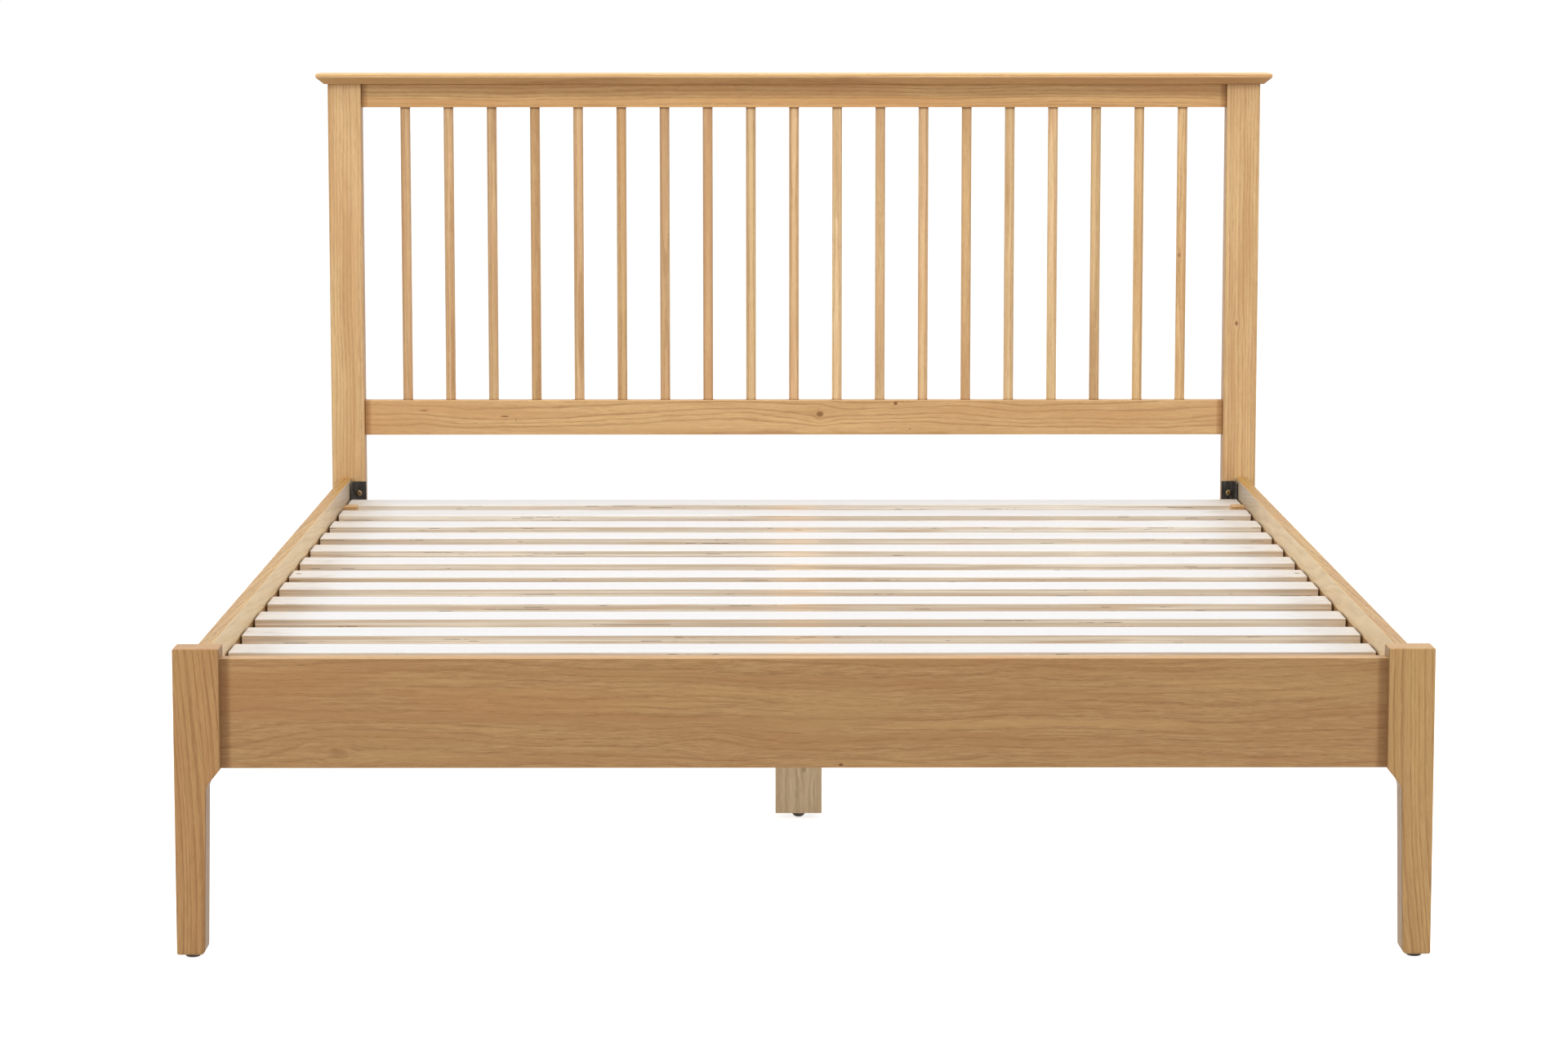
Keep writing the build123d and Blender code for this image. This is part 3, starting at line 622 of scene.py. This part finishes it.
def dress_posts():
    """The headboard's posts, with painted shade on their inner sides and a painted shadow of the cap on
    their tops.
    """
    shaded_side = ("inward", 0.0, 0.0, (0.74, 0.69, 0.62))
    # Painted shadow of the cap over the posts' tops.
    painted_shadow_under_cap = ("top", 0.012, 0.012, (0.74, 0.68, 0.62))
    right_knots = [(0.655, 0.764, 0.0030, 1.5, 0.8)]
    for side, seed, knots in (("left", 11, ()), ("right", 12, right_knots)):
        node = f"headboard_post_{side}"
        dress(node, oak(
            f"oak_post_{side}", node, "z", post_tone, seed,
            streaks=0.85, knots=knots, zones=[shaded_side, painted_shadow_under_cap],
        ))


def dress_headboard_rails():
    """The cap, top, lower and cross rails, with the dark lines where they meet the posts, the posts'
    painted shadow on the rails beside them, a painted highlight along the cap's rounded top edge,
    painted shade on its under-slope, and the cap's painted shadow on the top rail.
    """
    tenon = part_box("headboard_top_rail")[1].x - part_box("headboard_post_right")[0].x
    joint_line = ("ends", tenon + 0.0018, 0.0010, (0.50, 0.42, 0.34))
    # Painted shadow of the posts on the rails' ends beside them.
    painted_post_shadow = ("ends", tenon + 0.012, 0.004, (0.80, 0.74, 0.68))
    # Painted highlight along the cap's rounded top edge, and painted shade on the slope beneath it.
    painted_nose_highlight = ("top", 0.0075, 0.0020, (1.26, 1.32, 1.36))
    slope = ("bottom", 0.0110, 0.0015, (0.92, 0.84, 0.72))
    # Painted shadow of the cap on the top rail's upper part, and painted light that weakens it right
    # under the cap.
    painted_cap_shadow = ("top", 0.0278, 0.0114, (0.77, 0.77, 0.77))
    painted_lift_at_cap = ("top", 0.0060, 0.0040, (1.25, 1.25, 1.25))
    dress("headboard_cap_rail", oak(
        "oak_cap", "headboard_cap_rail", "x", cap_tone, 13, streaks=0.6, zones=[painted_nose_highlight, slope],
    ))
    dress("headboard_top_rail", oak(
        "oak_top_rail", "headboard_top_rail", "x", top_rail_tone, 14,
        ring=0.0055, depth=0.6, wander=0.012, streaks=0.8,
        zones=[painted_cap_shadow, painted_lift_at_cap, painted_post_shadow, joint_line],
    ))
    dress("headboard_lower_rail", oak(
        "oak_lower_rail", "headboard_lower_rail", "x", lower_rail_tone, 15,
        ring=0.0055, depth=0.8, wander=0.016, tilt=0.006, streaks=0.6, crisp=0.5,
        knots=lower_rail_knots, zones=[painted_post_shadow, joint_line],
    ))
    dress("head_cross_rail", oak("oak_cross_rail", "head_cross_rail", "x", cross_rail_tone, 16))


def dress_spindles():
    """The spindles, each of its own tone, with the rails' painted shadow and shade where they enter
    them.
    """
    spindle_low, spindle_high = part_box("spindle_01")
    top_seat = spindle_high.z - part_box("headboard_top_rail")[0].z
    low_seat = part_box("headboard_lower_rail")[1].z - spindle_low.z
    # Painted shadow of the top rail on the spindles' tops, and painted shade at their feet.
    painted_rail_shadow_top = ("top", top_seat + 0.0045, 0.0030, (0.50, 0.40, 0.31))
    painted_rail_shade_bottom = ("bottom", low_seat + 0.004, 0.003, (0.74, 0.68, 0.60))
    last_knots = [(0.772, 0.665, 0.0026, 1.5, 0.7)]
    for number, tone in enumerate(spindle_tones, 1):
        node = f"spindle_{number:02d}"
        knots = last_knots if number == len(spindle_tones) else ()
        dress(node, oak(
            f"oak_spindle_{number:02d}", node, "z", tone, 100 + number,
            ring=0.0042, depth=0.7, streaks=0.7, knots=knots, arris_highlight_width=0,
            zones=[painted_rail_shadow_top, painted_rail_shade_bottom],
        ))


def dress_foot():
    """The foot rail and its two legs, with painted light on the rail's top, the legs' painted shadow on
    the rail beside them, and painted shade on the legs' inner sides.
    """
    low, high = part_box("foot_rail")
    tenon = high.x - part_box("foot_leg_right")[0].x
    # Painted light on the rail's upward-facing top.
    painted_light_on_top = ("up", 0.0, 0.0, (1.24, 1.31, 1.32))
    # Painted shadow of the legs on the rail's ends beside them.
    painted_leg_shadow = ("ends", tenon + 0.015, 0.006, (0.80, 0.73, 0.66))
    rail_knots = [
        (0.047, low.z + 0.004, 0.0020, 1.5, 1.0),
        (-0.593, low.z + 0.020, 0.0060, 2.0, 0.12),
        (-0.112, low.z + 0.026, 0.0070, 2.0, 0.10),
    ]
    dress("foot_rail", oak(
        "oak_foot_rail", "foot_rail", "x", foot_rail_tone, 21,
        ring=0.0042, depth=0.40, wander=0.014, tilt=0.004, streaks=0.65, fibres=1.0, crisp=0.42,
        knots=rail_knots, zones=[painted_light_on_top, painted_leg_shadow],
    ))
    # Painted shade on the legs' inner sides.
    painted_shade_inside = ("inward", 0.0, 0.0, (0.62, 0.62, 0.62))
    legs = (
        ("left", left_leg_tone, 22, 0.75, (0.17, 0.10)),
        ("right", right_leg_tone, 23, 0.80, (-0.20, 0.36)),
    )
    for side, tone, seed, depth, curl in legs:
        node = f"foot_leg_{side}"
        dress(node, oak(
            f"oak_leg_{side}", node, "z", tone, seed,
            ring=0.0046, depth=depth, wander=0.006, tilt=0, curl=curl, streaks=0.35, crisp=0.42,
            zones=[painted_shade_inside],
        ))


def dress_sides():
    """The side rails, golden on top, with a painted reflection that makes the inner side creamy, painted
    shade on that side towards the head end and in the gap beside the slats, and the blocks that stop the
    slats.
    """
    golden_top = ("up", 0.0, 0.0, (0.75, 0.65, 0.385))
    # Painted reflection: the inner side is made creamy, as under a bright grazing reflection.
    painted_reflection_inside = ("inward", 0.0, 0.0, (1.22, 1.42, 1.75))
    shaded_head_end = ("inward_head", 0.60, 0.55, (0.52, 0.51, 0.52))
    # Painted shade in the narrow gap between the slats' ends and the rail's inner side.
    slat_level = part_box("slat_01")[1].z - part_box("side_rail_left")[0].z
    painted_gap_shade = ("inward_low", slat_level - 0.001, 0.003, (0.36, 0.25, 0.15))
    for side, seed in (("left", 31), ("right", 32)):
        node = f"side_rail_{side}"
        dress(node, oak(
            f"oak_side_{side}", node, "y", side_rail_tone, seed,
            ring=0.0060, depth=1.0, wander=0.014, tilt=0.085, matt=0.34,
            veil=("inward", side_rail_tone, 0.65),
            zones=[golden_top, painted_reflection_inside, shaded_head_end, painted_gap_shade],
        ))
    dress("slat_stop_blocks", oak(
        "oak_stop_blocks", "slat_stop_blocks", "y", stop_block_tone, 33, arris_highlight_width=0,
    ))


def dress_slats():
    """The slats, the head roll a little paler towards the head."""
    for number in (*head_roll, *foot_roll):
        node = f"slat_{number:02d}"
        share = max(0.0, (foot_roll[0] - number) / len(head_roll))
        lift = (1 + 0.03 * share, 1 + 0.06 * share, 1 + 0.10 * share)
        dress(node, slat_ply(f"ply_{number:02d}", node, 200 + number, lift))


def dress_supports():
    """The softwood under the slats: ledgers, centre rail and centre leg."""
    for node, seed in (("slat_ledger_left", 41), ("slat_ledger_right", 42), ("centre_rail", 43)):
        name = "pine_" + node.removeprefix("slat_")
        dress(node, pine(name, node, "y", pine_tone, seed))
    leg_knots = [(0.075, 0.008, 0.0035, 1.5, 0.5)]
    dress("centre_leg", pine("pine_centre_leg", "centre_leg", "z", centre_leg_tone, 44, leg_knots))


def dress_metal_and_plastic():
    """The brackets, the fasteners, the glides and the centre leg's foot."""
    steel = black_steel("black_powder_coat")
    for node in ("head_corner_brackets", "foot_corner_brackets", "centre_rail_hangers"):
        dress(node, steel)
    zinc = zinc_steel("zinc_plate")
    fasteners = (
        "corner_bolts", "threaded_inserts", "bracket_screws", "ledger_screws", "slat_screws",
        "centre_leg_screws",
    )
    for node in fasteners:
        dress(node, zinc)
    plastic = dark_plastic("brown_plastic")
    for node in ("leg_glides", "centre_leg_foot"):
        dress(node, plastic)


def tape_sag_at(y, hollows):
    """How far a tape hangs at y: nothing under a slat, most in the middle of a hollow."""
    for low, high in hollows:
        if low < y < high:
            return tape_sag * math.sin(math.pi * (y - low) / (high - low))
    return 0.0


def tape_section(mesh, middle, y, top, rib):
    """The corners of a tape's cross-section at y, all round: thick selvedges, and a rib or none."""
    upper, lower = [], []
    selvedge_columns = (0, 1, tape_columns - 1, tape_columns)
    for column in range(tape_columns + 1):
        x = middle + tape_width * (column / tape_columns - 0.5)
        selvedge = 0.0 if column in selvedge_columns else tape_selvedge_height
        upper.append(mesh.verts.new((x, y, top - selvedge - rib * 0.5)))
        lower.append(mesh.verts.new((x, y, top - tape_thickness + selvedge + rib * 0.5)))
    return upper + lower[::-1]


def tape_mesh(name, middle, start, end, top, hollows):
    """One tape as a thin closed band, ribbed across and slack between the slats."""
    mesh = bmesh.new()
    rows = round((end - start) / tape_rib_pitch) * 2
    rings = []
    for row in range(rows + 1):
        y = start + (end - start) * row / rows
        rib = tape_rib_height if row % 2 else 0.0
        rings.append(tape_section(mesh, middle, y, top - tape_sag_at(y, hollows), rib))
    for first, second in zip(rings, rings[1:]):
        count = len(first)
        for i in range(count):
            j = (i + 1) % count
            mesh.faces.new((first[i], first[j], second[j], second[i]))
    mesh.faces.new(rings[0][::-1])
    mesh.faces.new(rings[-1])
    bmesh.ops.recalc_face_normals(mesh, faces=mesh.faces)
    data = bpy.data.meshes.new(name)
    mesh.to_mesh(data)
    mesh.free()
    for polygon in data.polygons:
        polygon.use_smooth = True
    return data


def make_tapes():
    """Two tapes under each roll of slats, which stand for the plain webbing."""
    material = woven_tape("woven_tape")
    for roll, numbers in (("head", head_roll), ("foot", foot_roll)):
        boxes = sorted((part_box(f"slat_{n:02d}") for n in numbers), key=lambda pair: pair[0].y)
        start = boxes[0][0].y + tape_end_inset
        end = boxes[-1][1].y - tape_end_inset
        top = boxes[0][0].z
        hollows = [(a[1].y, b[0].y) for a, b in zip(boxes, boxes[1:])]
        for side, sign in (("left", -1), ("right", 1)):
            name = f"tape_{roll}_{side}"
            data = tape_mesh(name, sign * tape_spread / 2, start, end, top, hollows)
            data.materials.append(material)
            tape = bpy.data.objects.new(name, data)
            bpy.context.scene.collection.objects.link(tape)
            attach(tape, "frame")
            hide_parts("slat_webbing")


def seen_by_view(graph):
    """1 for rays from the camera, and for those seen in gloss or through glass."""
    path = graph.add("ShaderNodeLightPath")
    seen = graph.math("MAXIMUM", path.outputs["Is Camera Ray"], path.outputs["Is Glossy Ray"])
    return graph.math("MAXIMUM", seen, path.outputs["Is Transmission Ray"])


def make_floor():
    """A wide pale floor, which looks white and still takes the object's shadow."""
    mesh = bmesh.new()
    bmesh.ops.create_circle(mesh, cap_ends=True, segments=64, radius=floor_size)
    data = bpy.data.meshes.new("floor")
    mesh.to_mesh(data)
    mesh.free()
    floor = bpy.data.objects.new("floor", data)
    bpy.context.scene.collection.objects.link(floor)
    graph = Graph("floor_white")
    shader = graph.add("ShaderNodeBsdfPrincipled")
    graph.put(shader.inputs["Base Color"], (floor_white, floor_white, floor_white, 1))
    graph.put(shader.inputs["Roughness"], 0.9)
    graph.put(shader.inputs["Specular IOR Level"], 0.0)
    graph.put(shader.inputs["Emission Color"], (1, 1, 1, 1))
    glow = graph.math("MULTIPLY", seen_by_view(graph), floor_glow)
    graph.put(shader.inputs["Emission Strength"], glow)
    graph.put(graph.output.inputs["Surface"], shader.outputs[0])
    data.materials.append(graph.owner)


def make_world():
    """A white room as the camera sees it, which lights the object less than it shows."""
    world = bpy.data.worlds.new("studio")
    bpy.context.scene.world = world
    graph = Graph("studio", world)
    background = graph.add("ShaderNodeBackground")
    graph.put(background.inputs["Color"], (1, 1, 1, 1))
    strength = graph.step(seen_by_view(graph), 0.0, 1.0, ambient_strength, 1.0)
    graph.put(background.inputs["Strength"], strength)
    graph.put(graph.output.inputs["Surface"], background.outputs[0])


def add_area(name, place, target, size, energy):
    """A square soft box at a place, turned to its target."""
    data = bpy.data.lights.new(name, "AREA")
    data.shape = "SQUARE"
    data.size = size
    data.energy = energy
    light = bpy.data.objects.new(name, data)
    light.location = place
    light.rotation_euler = (Vector(target) - Vector(place)).to_track_quat("-Z", "Y").to_euler()
    bpy.context.scene.collection.objects.link(light)


def make_lights():
    """All the soft boxes."""
    for name, (place, target, size, energy) in soft_boxes.items():
        add_area(name, place, target, size, energy)


def make_camera():
    """The camera, level across and pitched down."""
    data = bpy.data.cameras.new("camera")
    data.lens = camera_lens
    data.sensor_width = camera_sensor
    camera = bpy.data.objects.new("camera", data)
    camera.location = camera_place
    camera.rotation_euler = (math.radians(90 - camera_pitch), 0, math.radians(-camera_yaw))
    bpy.context.scene.collection.objects.link(camera)
    bpy.context.scene.camera = camera


make_camera()
make_world()
make_lights()
make_floor()
dress_posts()
dress_headboard_rails()
dress_spindles()
dress_foot()
dress_sides()
dress_slats()
dress_supports()
dress_metal_and_plastic()
make_tapes()

bpy.context.scene.view_settings.view_transform = "Standard"
